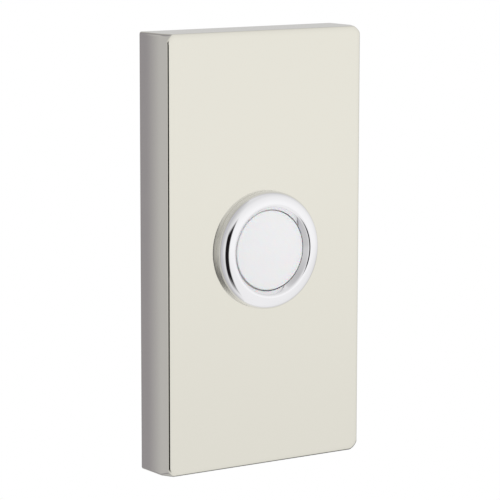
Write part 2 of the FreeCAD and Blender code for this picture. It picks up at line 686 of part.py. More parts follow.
def make_contact_bridge():
    """A drawn ring of spring brass: its collar sits in the cap's skirt, and its flange meets the contacts."""
    body = new_body("contact_bridge")
    collar_inner = s["cap_bore"] - s["bridge_sheet"]
    profile = new_sketch(body, "bridge_profile", "XY_Plane")
    outline(
        profile,
        (collar_inner, bridge_back),
        (collar_inner, bridge_back - s["bridge_collar"]),
        (s["cap_bore"], bridge_back - s["bridge_collar"]),
        (s["cap_bore"], skirt_end),
        (s["bridge_radius"], skirt_end),
        (s["bridge_radius"], bridge_back),
    )
    turn(body, profile)


def make_return_spring():
    """A coil spring between the cap and the base."""
    body = new_body("return_spring")
    wire = new_sketch(body, "spring_wire", "XY_Plane")
    wire_radius = s["spring_wire"] / 2
    low = cap_inside + wire_radius
    circle(wire, wire_radius, s["spring_radius"], low)
    doc.recompute()
    coil = body.newObject("PartDesign::AdditiveHelix", "spring_coil")
    coil.Profile = wire
    coil.ReferenceAxis = (wire, ["V_Axis"])
    coil.Mode = "height-turns-angle"
    bind(coil, "Height", s["base_front"] - wire_radius - low)
    bind(coil, "Turns", s["spring_turns"])
    doc.recompute()


def make_contact_base():
    """The moulded base: it seats on the barrel's shoulder, and carries the contacts, terminals and lamp."""
    body = new_body("contact_base")
    front_radius = s["barrel_bore"] - s["base_play"]
    seat_radius = s["base_pocket"] - s["base_play"]
    profile = new_sketch(body, "base_profile", "XY_Plane")
    outline(
        profile,
        (ZERO, base_back),
        (ZERO, post_front),
        (s["post_radius"], post_front),
        (s["post_radius"], s["base_front"]),
        (front_radius, s["base_front"]),
        (front_radius, s["base_seat"]),
        (seat_radius, s["base_seat"]),
        (seat_radius, base_back),
    )
    turn(body, profile)
    rib = new_sketch(body, "terminal_rib", offset=-base_back)
    rectangle(rib, -s["rib_sheet"] / 2, s["rib_sheet"] / 2, s["rib_start"], s["rim_radius"] - s["rib_play"])
    pad(body, rib, s["rib_height"], back=True)
    holes = new_sketch(body, "rivet_and_lead_holes", offset=-base_back)
    for hand in (1, -1):
        circle(holes, s["rivet_radius"] + s["rivet_play"], s["contact_offset"] * hand, -s["contact_reach"])
        circle(holes, s["lead_radius"] + s["rivet_play"], s["lead_offset"] * hand, ZERO)
    pocket(body, holes, back=True)
    screw_holes = new_sketch(body, "screw_end_holes", offset=-base_back)
    for hand in (1, -1):
        circle(screw_holes, s["terminal_thread"] + s["rivet_play"], s["terminal_offset"] * hand,
               s["terminal_rise"])
    pocket(body, screw_holes, s["terminal_screw_length"] - s["terminal_sheet"], back=True)


def make_fixed_contact(name, hand):
    """A strip riveted flat to the base at its lower end and bent forward at its upper end."""
    body = new_body(f"fixed_contact_{name}")
    half = s["contact_width"] / 2
    end = s["contact_reach"] + half
    tip_back = contact_tip + s["contact_sheet"]
    flat_front = s["base_front"] - s["contact_sheet"]
    side = new_sketch(body, "contact_side", "YZ_Plane")
    outline(
        side,
        (s["base_front"], -end),
        (s["base_front"], -s["contact_sheet"]),
        (tip_back, half),
        (tip_back, end),
        (contact_tip, end),
        (contact_tip, half - s["contact_sheet"]),
        (flat_front, -s["contact_sheet"] * 2),
        (flat_front, -end),
    )
    pad(body, side, s["contact_width"], both=True)
    dress(body, "Fillet", lambda p: near(abs(p.x), half) and near(abs(p.z), end), half - s["contact_end_flat"])
    hole = new_sketch(body, "rivet_hole")
    circle(hole, s["rivet_radius"] + s["rivet_play"], 0, -s["contact_reach"])
    pocket(body, hole)
    bind(body, "Placement.Base.x", s["contact_offset"] * hand)


def make_contact_rivet(name, hand):
    """A hollow rivet from the contact strip through the base to the terminal plate."""
    body = new_body(f"contact_rivet_{name}")
    head_front = s["base_front"] - s["contact_sheet"] - s["rivet_head_height"]
    head_back = terminal_back + s["rivet_head_height"]
    profile = new_sketch(body, "rivet_profile", "XY_Plane")
    outline(
        profile,
        (s["rivet_bore"], head_front),
        (s["rivet_head"], head_front),
        (s["rivet_head"], head_front + s["rivet_head_height"]),
        (s["rivet_radius"], head_front + s["rivet_head_height"]),
        (s["rivet_radius"], terminal_back),
        (s["rivet_head"], terminal_back),
        (s["rivet_head"], head_back),
        (s["rivet_bore"], head_back),
    )
    turn(body, profile)
    bind(body, "Placement.Base.x", s["contact_offset"] * hand)
    bind(body, "Placement.Base.z", -s["contact_reach"])


def make_terminal_plate(name, hand):
    """A pear-shaped plate, tapped for the screw at its wide end and riveted at its narrow end."""
    body = new_body(f"terminal_plate_{name}")
    big = s["terminal_round"]
    small = s["terminal_small_round"]
    dx = (s["contact_offset"] - s["terminal_offset"]) * hand
    dz = -s["contact_reach"] - s["terminal_rise"]
    # The two sides are the outer tangents of the wide and the narrow end.
    far = dx * dx + dz * dz
    cosine = (big - small) / far.root()
    sine = (ONE - cosine * cosine).root()
    ux = dx / far.root()
    uz = dz / far.root()
    sides = []
    for turned in (1, -1):
        nx = ux * cosine - uz * sine * turned
        nz = uz * cosine + ux * sine * turned
        sides.append((nx, nz))
    (ax, az), (bx, bz) = sides
    plate = new_sketch(body, "pear_outline", offset=-base_back)
    outline(
        plate,
        (dx + ax * small, dz + az * small),
        (dx + ux * small, dz + uz * small, small, (dx, dz)),
        (dx + bx * small, dz + bz * small, small, (dx, dz)),
        (bx * big, bz * big),
        (-ux * big, -uz * big, big, (ZERO, ZERO)),
        (ax * big, az * big, big, (ZERO, ZERO)),
    )
    pad(body, plate, s["terminal_sheet"], back=True)
    holes = new_sketch(body, "tapped_and_rivet_holes", offset=-base_back)
    circle(holes, s["terminal_thread"] + s["thread_gap"])
    circle(holes, s["rivet_radius"] + s["rivet_play"], dx, dz)
    pocket(body, holes, s["terminal_sheet"] * 2, both=True)
    place_terminal(body, hand)


def place_terminal(body, hand):
    bind(body, "Placement.Base.x", s["terminal_offset"] * hand)
    bind(body, "Placement.Base.z", s["terminal_rise"])


def make_cup_washer(name, hand):
    """A dished washer whose rim keeps the bell wire under the screw."""
    body = new_body(f"cup_washer_{name}")
    rim_front = terminal_back
    bore = s["terminal_thread"] + s["rivet_play"] * 2
    profile = new_sketch(body, "cup_profile", "XY_Plane")
    outline(
        profile,
        (bore, cup_back),
        (s["cup_radius"], cup_back),
        (s["cup_radius"], rim_front),
        (s["cup_radius"] - s["cup_sheet"], rim_front),
        (s["cup_radius"] - s["cup_sheet"], cup_back - s["cup_sheet"]),
        (bore, cup_back - s["cup_sheet"]),
    )
    turn(body, profile)
    place_terminal(body, hand)


def make_terminal_screw(name, hand):
    """A binding-head screw with a slot."""
    body = new_body(f"terminal_screw_{name}")
    head_back = cup_back + s["terminal_head_height"]
    round_edge = s["terminal_head_height"] / 2
    tip = cup_back - s["terminal_screw_length"]
    profile = new_sketch(body, "screw_profile", "XY_Plane")
    outline(
        profile,
        (ZERO, tip),
        (s["terminal_thread"], tip),
        (s["terminal_thread"], cup_back),
        (s["terminal_head"], cup_back),
        (s["terminal_head"], head_back - round_edge),
        (s["terminal_head"] - round_edge, head_back, round_edge,
         (s["terminal_head"] - round_edge, head_back - round_edge)),
        (ZERO, head_back),
    )
    turn(body, profile)
    slot = new_sketch(body, "driver_slot", offset=-head_back)
    slot_reach = s["terminal_head"] * OVERSHOOT
    rectangle(slot, -slot_reach, slot_reach, -s["slot_width"] / 2, s["slot_width"] / 2)
    pocket(body, slot, s["slot_depth"], back=True)
    place_terminal(body, hand)


def lead(points, bend):
    """Round wire along a path of straight runs joined by small arcs."""
    corners = [FreeCAD.Vector(*(size(place).value for place in point)) for point in points]
    edges = []
    start = corners[0]
    for before, corner, after in zip(corners, corners[1:], corners[2:]):
        into = (corner - before).normalize()
        out = (after - corner).normalize()
        arc_start = corner - into * bend
        arc_end = corner + out * bend
        middle = corner + (out - into).normalize() * bend * (math.sqrt(2) - 1)
        edges.append(Part.LineSegment(start, arc_start).toShape())
        edges.append(Part.Arc(arc_start, middle, arc_end).toShape())
        start = arc_end
    edges.append(Part.LineSegment(start, corners[-1]).toShape())
    path = Part.Wire(edges)
    heading = (corners[1] - corners[0]).normalize()
    ring = Part.Wire([Part.makeCircle(s["lead_radius"].value, corners[0], heading)])
    return path.makePipeShell([ring], True, True)


def add_shape(label, shape):
    piece = doc.addObject("Part::Feature", label)
    piece.Label = label
    piece.Shape = shape


lead_back = terminal_back + s["lead_radius"] + s["lead_play"]
solder_x = s["contact_offset"] - s["solder_inset"]
solder_z = s["solder_inset"] - s["contact_reach"]
joint_z = -s["lead_run"]


def make_led_lamp():
    """A round lamp with a domed end, and leads that pass through the base to a terminal and the resistor."""
    foot = post_front
    dome_start = foot - s["lamp_height"] + s["lamp_radius"]
    v = FreeCAD.Vector
    radius = s["lamp_radius"].value
    flange = s["lamp_flange"].value
    y_foot = foot.value
    y_flange = y_foot - s["lamp_flange_height"].value
    y_dome = dome_start.value
    dome = Part.Arc(v(radius, y_dome, 0), v(radius * math.sin(math.radians(45)),
                    y_dome - radius * math.sin(math.radians(45)), 0), v(0, y_dome - radius, 0))
    profile = Part.Wire([
        Part.LineSegment(v(0, y_foot, 0), v(flange, y_foot, 0)).toShape(),
        Part.LineSegment(v(flange, y_foot, 0), v(flange, y_flange, 0)).toShape(),
        Part.LineSegment(v(flange, y_flange, 0), v(radius, y_flange, 0)).toShape(),
        Part.LineSegment(v(radius, y_flange, 0), v(radius, y_dome, 0)).toShape(),
        dome.toShape(),
        Part.LineSegment(v(0, y_dome - radius, 0), v(0, y_foot, 0)).toShape(),
    ])
    lamp = Part.Face(profile).revolve(v(0, 0, 0), v(0, 1, 0), 360)
    bend = s["lead_bend"].value
    inside = foot - s["lamp_flange_height"] / 2
    left = lead([(-s["lead_offset"], inside, ZERO), (-s["lead_offset"], lead_back, ZERO),
                 (-solder_x, lead_back, solder_z)], bend)
    right = lead([(s["lead_offset"], inside, ZERO), (s["lead_offset"], lead_back, ZERO),
                  (s["lead_offset"], lead_back, joint_z)], bend)
    add_shape("led_lamp", lamp.fuse([left, right]).removeSplitter())


def make_resistor():
    """A resistor that hangs below one lamp lead, with its own lead bent over to the right terminal."""
    v = FreeCAD.Vector
    x = s["lead_offset"]
    top = joint_z - s["resistor_radius"]
    low = top - s["resistor_length"]
    body = Part.makeCylinder(s["resistor_radius"].value, s["resistor_length"].value,
                             v(x.value, lead_back.value, low.value), v(0, 0, 1))
    ends = [edge for edge in body.Edges if edge.Closed and len(edge.Vertexes) == 1
            and isinstance(edge.Curve, Part.Circle)]
    body = body.makeFillet(s["resistor_round"].value, ends)
    bend = s["lead_bend"].value
    run_x = x + s["resistor_radius"] * 2
    below = low - s["resistor_radius"]
    upper = lead([(x, lead_back, top - s["resistor_radius"]), (x, lead_back, joint_z)], bend)
    lower = lead([(x, lead_back, low + s["resistor_radius"]), (x, lead_back, below),
                  (run_x, lead_back, below), (run_x, lead_back, solder_z), (solder_x, lead_back, solder_z)], bend)
    add_shape("resistor", body.fuse([upper, lower]).removeSplitter())


make_face_plate()
make_mounting_bracket()
make_cover_set_screw()
make_bezel()
make_lock_washer()
make_retaining_nut()
make_button_cap()
make_contact_bridge()
make_return_spring()
make_contact_base()
for side_name, side_hand in (("left", -1), ("right", 1)):
    make_fixed_contact(side_name, side_hand)
    make_contact_rivet(side_name, side_hand)
    make_terminal_plate(side_name, side_hand)
    make_cup_washer(side_name, side_hand)
    make_terminal_screw(side_name, side_hand)
make_led_lamp()
make_resistor()

doc.recompute()
for thing in doc.Objects:
    if {"Invalid", "Error"} & set(thing.State):
        raise RuntimeError(f"{thing.Label} could not be built")
pieces = [thing for thing in doc.Objects if thing.TypeId in ("PartDesign::Body", "Part::Feature")]
for piece in pieces:
    if piece.Shape.isNull() or not piece.Shape.isValid() or not piece.Shape.Solids:
        raise RuntimeError(f"{piece.Label} has no valid shape")

os.makedirs("parts", exist_ok=True)
for piece in pieces:
    piece.Shape.exportStep(f"parts/{piece.Label}.step")
    box = piece.Shape.BoundBox
    print(f"{piece.Label}: {len(piece.Shape.Solids)} solid, {piece.Shape.Volume:.2f} mm3, "
          f"x {box.XMin:.2f} {box.XMax:.2f}, y {box.YMin:.2f} {box.YMax:.2f}, z {box.ZMin:.2f} {box.ZMax:.2f}")
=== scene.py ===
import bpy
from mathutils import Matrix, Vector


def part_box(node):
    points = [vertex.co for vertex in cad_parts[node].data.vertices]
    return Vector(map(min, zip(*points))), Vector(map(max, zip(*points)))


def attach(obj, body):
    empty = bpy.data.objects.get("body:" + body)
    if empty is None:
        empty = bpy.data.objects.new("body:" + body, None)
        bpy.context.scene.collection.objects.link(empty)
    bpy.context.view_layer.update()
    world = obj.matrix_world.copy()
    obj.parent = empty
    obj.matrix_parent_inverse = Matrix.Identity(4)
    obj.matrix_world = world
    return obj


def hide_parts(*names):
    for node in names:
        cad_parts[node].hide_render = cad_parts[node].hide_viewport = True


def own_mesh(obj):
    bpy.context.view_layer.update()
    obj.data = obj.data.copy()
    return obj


bl_info = {
    "name": "Doorbell Push Button",
    "version": (1, 0, 0),
    "blender": (4, 5, 0),
    "location": "View3D > Sidebar > Doorbell",
    "description": "Nickel cover plate, chrome ring and white push cap, lit in a pale tent",
    "category": "Object",
}

import math

import bmesh
import bpy
from bpy.props import FloatProperty, FloatVectorProperty, PointerProperty
from mathutils import Matrix, Vector

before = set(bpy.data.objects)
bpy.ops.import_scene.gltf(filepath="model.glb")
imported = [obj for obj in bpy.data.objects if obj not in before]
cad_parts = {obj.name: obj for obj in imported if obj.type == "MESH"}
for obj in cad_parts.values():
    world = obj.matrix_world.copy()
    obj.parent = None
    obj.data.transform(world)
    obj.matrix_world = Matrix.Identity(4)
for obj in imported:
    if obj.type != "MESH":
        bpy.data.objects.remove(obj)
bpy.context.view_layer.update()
MM = 0.001
NEAR = 1e-4


def linear(hex_colour):
    """An sRGB hex colour as linear red, green and blue."""
    channels = [int(hex_colour[i:i + 2], 16) / 255 for i in (1, 3, 5)]
    return tuple(c / 12.92 if c <= 0.04045 else ((c + 0.055) / 1.055) ** 2.4 for c in channels)


def rgba(hex_colour):
    return (*linear(hex_colour), 1.0)


def add_node(tree, kind, links=None, **settings):
    """Add a node, set its settings, and fill or link its inputs by name or number."""
    node = tree.nodes.new(kind)
    for name, value in settings.items():
        setattr(node, name, value)
    for name, value in (links or {}).items():
        if isinstance(value, bpy.types.NodeSocket):
            tree.links.new(value, node.inputs[name])
        else:
            node.inputs[name].default_value = value
    return node


def new_material(name):
    """An empty node material, with its tree and its output node."""
    material = bpy.data.materials.new(name)
    material.use_nodes = True
    tree = material.node_tree
    tree.nodes.clear()
    return material, tree, tree.nodes.new("ShaderNodeOutputMaterial")


def box_mm(node):
    low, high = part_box(node)
    return low / MM, high / MM


class PlateSettings(bpy.types.PropertyGroup):
    colour: FloatVectorProperty(
        name="Nickel", description="Colour of the polished nickel", subtype="COLOR",
        default=linear("#e7e5d9"), min=0, max=1)
    roughness: FloatProperty(
        name="Polish", description="Roughness of the polished faces", default=0.09, min=0, max=1)
    back_corner: FloatProperty(
        name="Back corner", description="Corner radius at the wall, in millimetres", default=0.5)
    front_corner: FloatProperty(
        name="Front corner", description="Corner radius at the front, in millimetres", default=2.2)
    corner_depth: FloatProperty(
        name="Corner depth", default=3.0,
        description="Depth over which the corners grow rounder, in millimetres")
    edge_width: FloatProperty(
        name="Edge width", default=1.2,
        description="Width of the buffed front edge on the face, in millimetres")
    edge_depth: FloatProperty(
        name="Edge depth", default=0.35,
        description="Depth of the buffed front edge on the sides, in millimetres")
    top_edge: FloatProperty(
        name="Top edge", description="How many times wider the front edge is along the top", default=1.7)
    bottom_edge: FloatProperty(
        name="Bottom edge", default=2.4,
        description="How many times deeper the front edge is along the bottom")
    side_wall: FloatProperty(
        name="Side wall", description="Thickness of the four sides at the rim, in millimetres", default=2.6)
    front_wall: FloatProperty(
        name="Front wall", description="Thickness of the front, in millimetres", default=2.6)


class RingSettings(bpy.types.PropertyGroup):
    colour: FloatVectorProperty(
        name="Chrome", description="Colour of the chrome", subtype="COLOR",
        default=linear("#f6f6f7"), min=0, max=1)
    side_height: FloatProperty(
        name="Side", description="Height of the straight side, in millimetres", default=0.85)
    side_roughness: FloatProperty(
        name="Side finish", description="Roughness of the straight side", default=0.3, min=0, max=1)
    dome: FloatProperty(
        name="Dome", description="Outside of the ring to its crest, in millimetres", default=2.55)
    slope: FloatProperty(
        name="Slope", description="Slope from the crest down to the cap, in degrees", default=56.0)
    shoulder: FloatProperty(
        name="Shoulder", description="Radius of the outer shoulder, in millimetres", default=1.55)
    inner_round: FloatProperty(
        name="Inner rounding", default=0.8,
        description="Radius of the rounding inside the crest, in millimetres")
    lip_radius: FloatProperty(
        name="Lip", description="Bore of the lip around the cap, in millimetres", default=8.28)


class CapSettings(bpy.types.PropertyGroup):
    colour: FloatVectorProperty(
        name="White", description="Colour of the white plastic", subtype="COLOR",
        default=linear("#ededee"), min=0, max=1)


class StudioSettings(bpy.types.PropertyGroup):
    focal_pixels: FloatProperty(
        name="Focal length", description="Focal length in image pixels", default=2644.3)
    azimuth: FloatProperty(name="Azimuth", description="Camera azimuth, in degrees", default=-34.142)
    elevation: FloatProperty(name="Elevation", description="Camera elevation, in degrees", default=8.816)
    roll: FloatProperty(name="Roll", description="Camera roll, in degrees", default=0.067)
    distance: FloatProperty(name="Distance", description="Camera distance, in millimetres", default=544.17)
    shift_right: FloatProperty(
        name="Right", description="Camera offset to the right, in millimetres", default=2.513)
    shift_up: FloatProperty(name="Up", description="Camera offset upwards, in millimetres", default=-1.389)
    light: FloatProperty(name="Tent", description="Brightness of the tent's white walls", default=1.0)
    fill: FloatProperty(name="Fill", description="Power of the fill lamp, in watts", default=8.5)


def finish_piece(bm, name, material, body="housing", sharp=30.0):
    """Turn a bmesh in millimetres into a smooth-shaded piece in metres that rides on a body."""
    bmesh.ops.scale(bm, vec=(MM, MM, MM), verts=bm.verts)
    mesh = bpy.data.meshes.new(name)
    bm.to_mesh(mesh)
    bm.free()
    mesh.shade_smooth()
    mesh.set_sharp_from_angle(angle=math.radians(sharp))
    mesh.materials.append(material)
    piece = bpy.data.objects.new(name, mesh)
    bpy.context.scene.collection.objects.link(piece)
    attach(piece, body)
    return piece


def arc(centre, radius, start, end, steps):
    """Points of an arc in the (radius, depth) plane, between two angles in degrees."""
    points = []
    for step in range(steps + 1):
        angle = math.radians(start + (end - start) * step / steps)
        points.append((centre[0] + radius * math.cos(angle), centre[1] + radius * math.sin(angle)))
    return points


def lathe(profile, steps, closed=True):
    """Spin a profile of (radius, depth) points in millimetres round the push button's axis."""
    bm = bmesh.new()
    verts = [bm.verts.new((radius, depth, 0)) for radius, depth in profile]
    pairs = list(zip(verts, verts[1:]))
    if closed:
        pairs.append((verts[-1], verts[0]))
    edges = [bm.edges.new(pair) for pair in pairs]
    bmesh.ops.spin(bm, geom=verts + edges, cent=(0, 0, 0), axis=(0, 1, 0), angle=math.tau, steps=steps,
                   use_merge=True)
    bmesh.ops.remove_doubles(bm, verts=bm.verts, dist=1e-5)
    bmesh.ops.recalc_face_normals(bm, faces=bm.faces)
    return bm


def object_place(tree):
    """The place on the object, in metres."""
    return add_node(tree, "ShaderNodeTexCoord").outputs["Object"]


def noise(tree, vector, scale, detail):
    """Noise with so many grains to the metre."""
    links = {"Vector": vector, "Scale": scale, "Detail": detail}
    return add_node(tree, "ShaderNodeTexNoise", links).outputs["Fac"]


def spread(tree, value, low, high):
    """Noise, which is mostly between 0.3 and 0.7, spread between two values."""
    return add_node(tree, "ShaderNodeMapRange", {
        "Value": value, "From Min": 0.3, "From Max": 0.7, "To Min": low, "To Max": high}).outputs[0]


def bump(tree, height, strength, distance):
    """A normal that follows a height, with the distance in metres."""
    return add_node(tree, "ShaderNodeBump", {
        "Height": height, "Strength": strength, "Distance": distance}).outputs[0]


def blend(tree, share, first, second):
    """A mix of two colours."""
    return add_node(tree, "ShaderNodeMix", {0: share, 6: first, 7: second}, data_type="RGBA").outputs[2]


def calculate(tree, operation, *values):
    """One step of arithmetic."""
    return add_node(tree, "ShaderNodeMath", dict(enumerate(values)), operation=operation).outputs[0]


def either(tree, share, first, second):
    """The first shader where the share is 0, the second where it is 1."""
    return add_node(tree, "ShaderNodeMixShader", {0: share, 1: first.outputs[0], 2: second.outputs[0]})


def tinned_wire(tree):
    return add_node(tree, "ShaderNodeBsdfPrincipled", {
        "Base Color": rgba("#cfcfca"), "Metallic": 1.0, "Roughness": 0.25})


def polished_nickel(settings):
    """Polished nickel on cast brass: a warm, nearly perfect mirror with very faint polishing marks. Behind,
    the casting keeps its dull as-cast skin."""
    material, tree, output = new_material("polished_nickel")
    place = object_place(tree)
    # Polishing marks run along the plate. Real ones are about 0.02 mm apart, and these are 0.25 mm apart, so
    # that they show.
    stretched = add_node(tree, "ShaderNodeMapping", {"Vector": place, "Scale": (4000, 4000, 60)})
    marks = noise(tree, stretched.outputs[0], 1.0, 3.0)
    haze = noise(tree, place, 90.0, 4.0)
    polish = spread(tree, haze, settings.roughness * 0.85, settings.roughness * 1.2)
    shell = add_node(tree, "ShaderNodeBsdfPrincipled", {
        "Base Color": (*settings.colour, 1), "Metallic": 1.0, "Roughness": polish,
        "Normal": bump(tree, marks, 0.02, 0.00001)})
    # The hollow behind: grey, grainy skin of the casting, with grains of about 0.3 mm.
    grain = noise(tree, place, 3300.0, 2.0)
    skin = add_node(tree, "ShaderNodeBsdfPrincipled", {
        "Base Color": blend(tree, haze, rgba("#b9b29c"), rgba("#a59c82")), "Metallic": 1.0, "Roughness": 0.42,
        "Normal": bump(tree, grain, 0.5, 0.00005)})
    # The skin begins a little outside the hollow's sides and in front of its floor.
    side_margin = 0.05
    floor_margin = 0.1
    low, high = box_mm("face_plate")
    inner_x = high.x - settings.side_wall + side_margin
    inner_z = high.z - settings.side_wall + side_margin
    floor_y = low.y + settings.front_wall - floor_margin
    axes = add_node(tree, "ShaderNodeSeparateXYZ", {"Vector": place})
    in_x = calculate(tree, "LESS_THAN", calculate(tree, "ABSOLUTE", axes.outputs["X"]), inner_x * MM)
    in_z = calculate(tree, "LESS_THAN", calculate(tree, "ABSOLUTE", axes.outputs["Z"]), inner_z * MM)
    behind = calculate(tree, "GREATER_THAN", axes.outputs["Y"], floor_y * MM)
    hollow = calculate(tree, "MULTIPLY", calculate(tree, "MULTIPLY", in_x, in_z), behind)
    mixed = either(tree, hollow, shell, skin)
    tree.links.new(mixed.outputs[0], output.inputs["Surface"])
    return material


def bright_chrome(settings):
    """Chrome plate over polished brass: a cool, sharp mirror. The straight side is left as turned, so that it
    is satin and blurs what it mirrors."""
    material, tree, output = new_material("bright_chrome")
    place = object_place(tree)
    polish = spread(tree, noise(tree, place, 160.0, 4.0), 0.03, 0.05)
    axes = add_node(tree, "ShaderNodeSeparateXYZ", {"Vector": place})
    flat = add_node(tree, "ShaderNodeCombineXYZ", {"X": axes.outputs["X"], "Z": axes.outputs["Z"]})
    radius = add_node(tree, "ShaderNodeVectorMath", {0: flat.outputs[0]}, operation="LENGTH")
    side_margin = 0.02
    side = (box_mm("bezel")[1].x - side_margin) * MM
    on_side = calculate(tree, "GREATER_THAN", radius.outputs["Value"], side)
    finish = calculate(tree, "MULTIPLY_ADD", on_side, settings.side_roughness, polish)
    shader = add_node(tree, "ShaderNodeBsdfPrincipled", {
        "Base Color": (*settings.colour, 1), "Metallic": 1.0, "Roughness": finish})
    tree.links.new(shader.outputs[0], output.inputs["Surface"])
    return material


def moulded_white(settings):
    """Moulded white acetal: milky, with a soft satin gloss and a very fine moulded grain."""
    material, tree, output = new_material("moulded_white")
    # Spark-eroded grain of the mould, about 0.15 mm.
    grain = noise(tree, object_place(tree), 6600.0, 2.0)
    shader = add_node(tree, "ShaderNodeBsdfPrincipled", {
        "Base Color": (*settings.colour, 1), "Roughness": 0.32, "IOR": 1.48, "Subsurface Weight": 0.2,
        "Subsurface Scale": 0.001, "Normal": bump(tree, grain, 0.08, 0.00002)})
    tree.links.new(shader.outputs[0], output.inputs["Surface"])
    return material


def worked_metal(name, colour, tint, roughness, grit):
    """Rolled, drawn or plated metal: two tones in clouds, with fine marks from rolling."""
    material, tree, output = new_material(name)
    place = object_place(tree)
    cloud = noise(tree, place, 140.0, 5.0)
    # Rolling marks along the sheet, 0.3 mm apart.
    stretched = add_node(tree, "ShaderNodeMapping", {"Vector": place, "Scale": (3300, 3300, 120)})
    marks = noise(tree, stretched.outputs[0], 1.0, 2.0)
    shader = add_node(tree, "ShaderNodeBsdfPrincipled", {
        "Base Color": blend(tree, cloud, rgba(colour), rgba(tint)), "Metallic": 1.0,
        "Roughness": spread(tree, cloud, roughness * 0.8, roughness * 1.25),
        "Normal": bump(tree, marks, grit, 0.00003)})
    tree.links.new(shader.outputs[0], output.inputs["Surface"])
    return material


def moulded_phenolic():
    """Compression-moulded phenolic: near-black brown, with a fine speckle of its wood-flour filler."""
    material, tree, output = new_material("moulded_phenolic")
    # Filler specks of about 0.2 mm.
    specks = noise(tree, object_place(tree), 5000.0, 3.0)
    shader = add_node(tree, "ShaderNodeBsdfPrincipled", {
        "Base Color": blend(tree, specks, rgba("#1c1613"), rgba("#33271f")), "Roughness": 0.38, "IOR": 1.6,
        "Normal": bump(tree, specks, 0.15, 0.00002)})
    tree.links.new(shader.outputs[0], output.inputs["Surface"])
    return material


def lamp_resin():
    """Cast epoxy of the lamp, milky and glossy, with tinned steel leads behind it."""
    material, tree, output = new_material("lamp_resin")
    resin = add_node(tree, "ShaderNodeBsdfPrincipled", {
        "Base Color": rgba("#eef0ea"), "Roughness": 0.08, "IOR": 1.55, "Transmission Weight": 0.55,
        "Subsurface Weight": 0.3, "Subsurface Scale": 0.0015})
    axes = add_node(tree, "ShaderNodeSeparateXYZ", {"Vector": object_place(tree)})
    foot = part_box("contact_base")[0].y
    behind = calculate(tree, "GREATER_THAN", axes.outputs["Y"], foot + 0.00001)
    mixed = either(tree, behind, resin, tinned_wire(tree))
    tree.links.new(mixed.outputs[0], output.inputs["Surface"])
    return material


def resistor_lacquer():
    """Buff lacquer of a carbon-film resistor with its four colour bands, and tinned leads."""
    material, tree, output = new_material("resistor_lacquer")
    axes = add_node(tree, "ShaderNodeSeparateXYZ", {"Vector": object_place(tree)})
    body_x = 1.27 * MM
    body_reach = 1.0 * MM
    body_top = -2.4 * MM
    body_low = -5.9 * MM
    share = add_node(tree, "ShaderNodeMapRange", {
        "Value": axes.outputs["Z"], "From Min": body_low, "From Max": body_top})
    bands = add_node(tree, "ShaderNodeValToRGB", {"Fac": share.outputs[0]})
    ramp = bands.color_ramp
    ramp.interpolation = "CONSTANT"
    buff = rgba("#cdb68a")
    brown = rgba("#7c3c16")
    # Where each colour starts, as a share of the body from its lower end.
    stops = ((0.0, buff), (0.16, rgba("#a8842c")), (0.26, buff), (0.42, brown), (0.52, buff),
             (0.60, rgba("#1a1a1a")), (0.70, buff), (0.78, brown), (0.88, buff))
    for start, colour in stops:
        stop = ramp.elements[0] if start == 0.0 else ramp.elements.new(start)
        stop.color = colour
    ramp.elements[-1].color = buff
    lacquer = add_node(tree, "ShaderNodeBsdfPrincipled", {"Base Color": bands.outputs[0], "Roughness": 0.25})
    offset = calculate(tree, "SUBTRACT", axes.outputs["X"], body_x)
    beside = calculate(tree, "LESS_THAN", calculate(tree, "ABSOLUTE", offset), body_reach)
    above = calculate(tree, "GREATER_THAN", axes.outputs["Z"], body_low)
    below = calculate(tree, "LESS_THAN", axes.outputs["Z"], body_top)
    on_body = calculate(tree, "MULTIPLY", calculate(tree, "MULTIPLY", above, below), beside)
    mixed = either(tree, on_body, tinned_wire(tree), lacquer)
    tree.links.new(mixed.outputs[0], output.inputs["Surface"])
    return material


def dress_nodes(material, *names):
    """Give CAD nodes a material in place of their plain one."""
    for name in names:
        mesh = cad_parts[name].data
        mesh.materials.clear()
        mesh.materials.append(material)


def rounded_block(half_x, half_z, front, radius, segments=14):
    """A block from the wall plane to its front, in millimetres, with its four long corners rounded."""
    bm = bmesh.new()
    bmesh.ops.create_cube(bm, size=1.0)
    bmesh.ops.scale(bm, vec=(half_x * 2, -front, half_z * 2), verts=bm.verts)
    bmesh.ops.translate(bm, vec=(0, front / 2, 0), verts=bm.verts)
    corners = [e for e in bm.edges if abs((e.verts[0].co - e.verts[1].co).normalized().y) > 0.99]
    bmesh.ops.bevel(bm, geom=corners, offset=radius, offset_type="OFFSET", segments=segments, profile=0.5,
                    affect="EDGES", material=-1)
    return bm


def cut(piece, cutter, operation="DIFFERENCE"):
    """Apply one exact boolean to a piece and remove the tool."""
    modifier = piece.modifiers.new("cut", "BOOLEAN")
    modifier.operation = operation
    modifier.solver = "EXACT"
    modifier.object = cutter
    depsgraph = bpy.context.evaluated_depsgraph_get()
    mesh = bpy.data.meshes.new_from_object(piece.evaluated_get(depsgraph))
    piece.modifiers.clear()
    piece.data = mesh
    bpy.data.objects.remove(cutter)


def tool_from(bm, name):
    mesh = bpy.data.meshes.new(name)
    bm.to_mesh(mesh)
    bm.free()
    tool = bpy.data.objects.new(name, mesh)
    bpy.context.scene.collection.objects.link(tool)
    return tool


def drill(piece, name, radius, length, segments, place):
    """Cut a round hole, with its cutter's length and place."""
    bm = bmesh.new()
    bmesh.ops.create_cone(bm, cap_ends=True, segments=segments, radius1=radius, radius2=radius, depth=length,
                          matrix=place)
    cut(piece, tool_from(bm, name))


